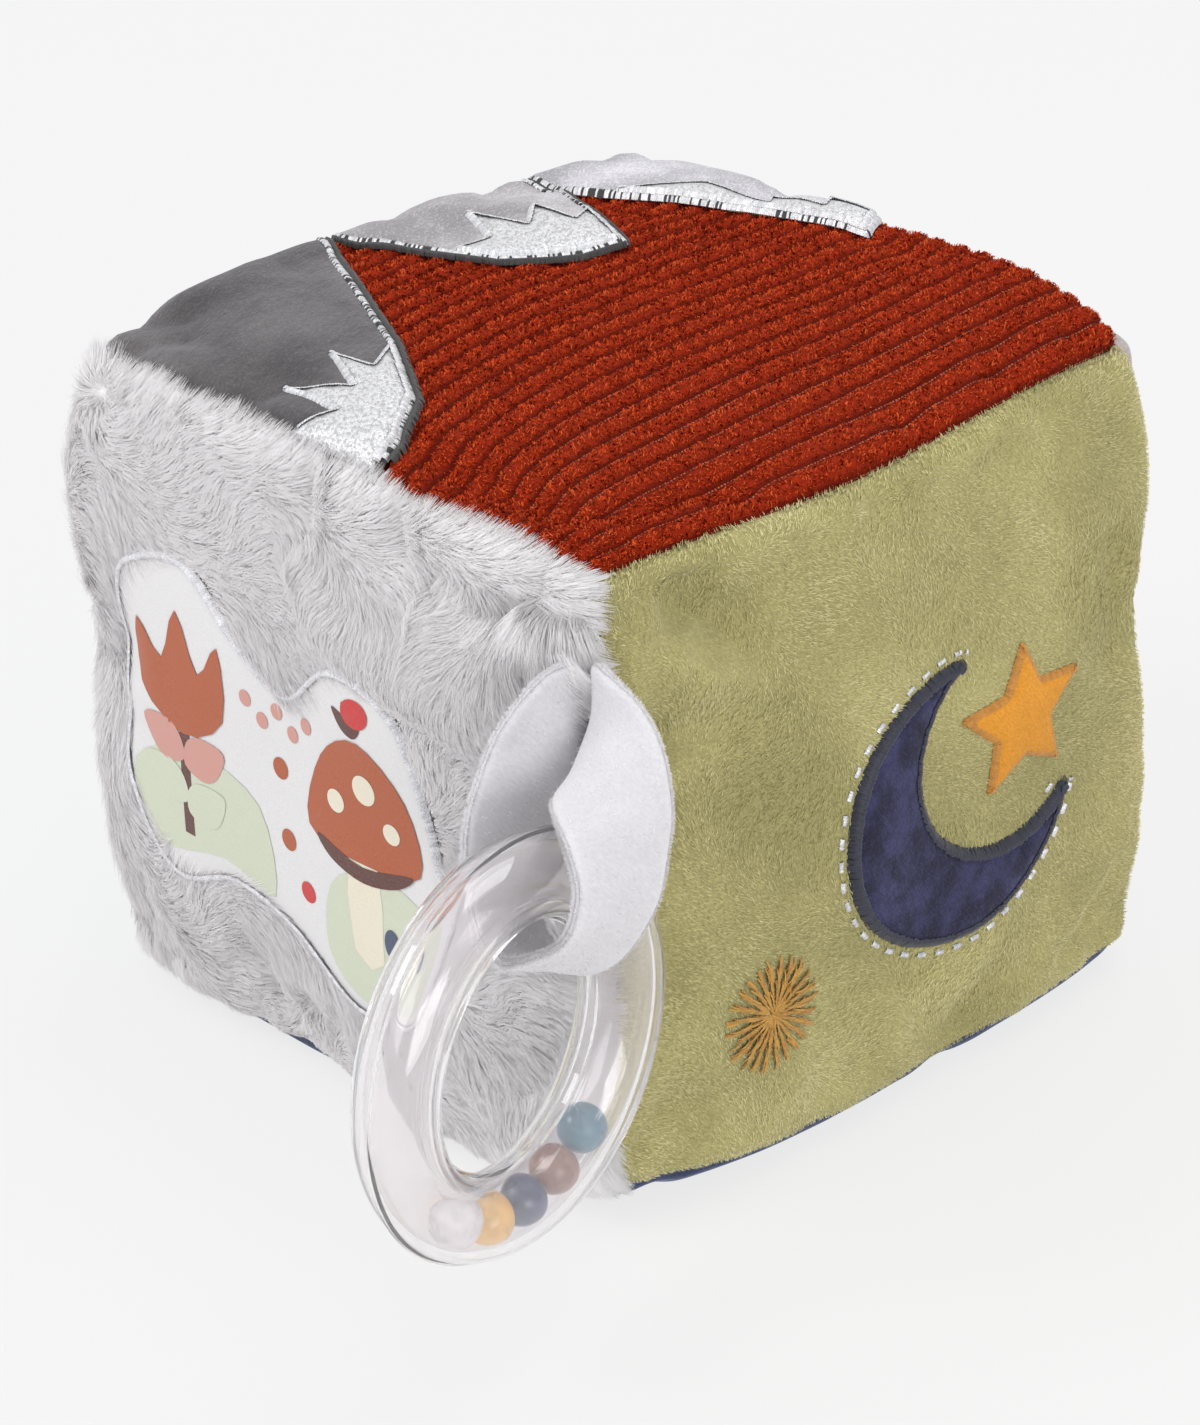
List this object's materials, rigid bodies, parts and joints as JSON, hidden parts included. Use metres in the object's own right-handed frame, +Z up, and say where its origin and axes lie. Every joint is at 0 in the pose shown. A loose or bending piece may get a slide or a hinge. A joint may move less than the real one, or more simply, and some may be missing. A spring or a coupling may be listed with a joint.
{
  "type": "soft activity block",
  "caption": "Soft fabric block with a different plush face on each side, flat sewn motifs, and a clear rattle ring hung on a plush loop.",
  "frame": {"origin": "middle of the flat base that the block stands on", "axes": "+Z up; -Y out of the furry front face; +X out of the olive velour face; the loop and ring hang at the +X, -Y upright seam"},
  "size_m": [0.1606, 0.1994, 0.1275],
  "materials": {
    "filling": "loose polyester fibre",
    "white_fur": "silky faux fur with a short swirled pile",
    "olive_velour": "short brushed velour",
    "rust_corduroy": "wide tufted corduroy",
    "blue_plush": "short plush",
    "warm_grey_plush": "short plush",
    "navy_plush": "short plush",
    "printed_satin": "smooth printed satin with a stitched edge",
    "dark_grey_velour": "short velour",
    "mid_grey_velour": "short velour",
    "light_grey_velour": "short velour",
    "silver_satin": "silvery woven satin",
    "navy_velour": "crushed velour",
    "mustard_felt": "matt felt",
    "gold_thread": "satin stitched thread",
    "white_strap": "soft short plush",
    "clear_plastic": "clear polished plastic",
    "teal_bead": "smooth",
    "mauve_bead": "smooth",
    "navy_bead": "smooth",
    "yellow_bead": "smooth",
    "white_bead": "smooth"
  },
  "bodies": {
    "block": {"fibre_filling": "filling", "panel_front_fur": "white_fur", "panel_right_velour": "olive_velour", "panel_top_corduroy": "rust_corduroy", "panel_left_plush": "blue_plush", "panel_back_plush": "warm_grey_plush", "panel_base_plush": "navy_plush", "front_print_patch": "printed_satin", "near_peak": "dark_grey_velour", "near_peak_cap": "silver_satin", "middle_peak": "mid_grey_velour", "middle_peak_cap": "silver_satin", "far_peak": "light_grey_velour", "far_peak_cap": "silver_satin", "moon_applique": "navy_velour", "star_applique": "mustard_felt", "thread_burst": "gold_thread", "strap_ends": "white_strap"},
    "strap": {"strap_loop": "white_strap"},
    "ring": {"ring_shell_outer": "clear_plastic", "ring_shell_inner": "clear_plastic"},
    "teal_ball": {"bead_teal": "teal_bead"},
    "mauve_ball": {"bead_mauve": "mauve_bead"},
    "navy_ball": {"bead_navy": "navy_bead"},
    "yellow_ball": {"bead_yellow": "yellow_bead"},
    "white_ball": {"bead_white": "white_bead"}
  },
  "joints": [
    {"name": "strap_flap", "type": "hinge", "parent": "block", "child": "strap", "pos_m": [0.065, -0.065, 0.0985], "axis": [0, 0, 1], "range_deg": [-25, 28], "stiffness_Nm_per_rad": 0.004},
    {"name": "ring_swing", "type": "hinge", "parent": "strap", "child": "ring", "pos_m": [0.0739, -0.07799, 0.07882], "axis": [-0.1341, 0.7765, -0.6157], "range_deg": [-35, 8]},
    {"name": "navy_roll", "type": "hinge", "parent": "ring", "child": "navy_ball", "pos_m": [0.07686, -0.0951, 0.0566], "axis": [0.9854, 0.1702, 0], "continuous": true},
    {"name": "teal_roll", "type": "hinge", "parent": "ring", "child": "teal_ball", "pos_m": [0.07686, -0.0951, 0.0566], "axis": [0.9854, 0.1702, 0], "continuous": true},
    {"name": "mauve_roll", "type": "hinge", "parent": "ring", "child": "mauve_ball", "pos_m": [0.07686, -0.0951, 0.0566], "axis": [0.9854, 0.1702, 0], "continuous": true},
    {"name": "yellow_roll", "type": "hinge", "parent": "ring", "child": "yellow_ball", "pos_m": [0.07686, -0.0951, 0.0566], "axis": [0.9854, 0.1702, 0], "continuous": true},
    {"name": "white_roll", "type": "hinge", "parent": "ring", "child": "white_ball", "pos_m": [0.07686, -0.0951, 0.0566], "axis": [0.9854, 0.1702, 0], "continuous": true}
  ],
  "couplings": [
    {"joint": "teal_roll", "follows": "navy_roll", "ratio": 1},
    {"joint": "mauve_roll", "follows": "navy_roll", "ratio": 1},
    {"joint": "yellow_roll", "follows": "navy_roll", "ratio": 1},
    {"joint": "white_roll", "follows": "navy_roll", "ratio": 1}
  ]
}
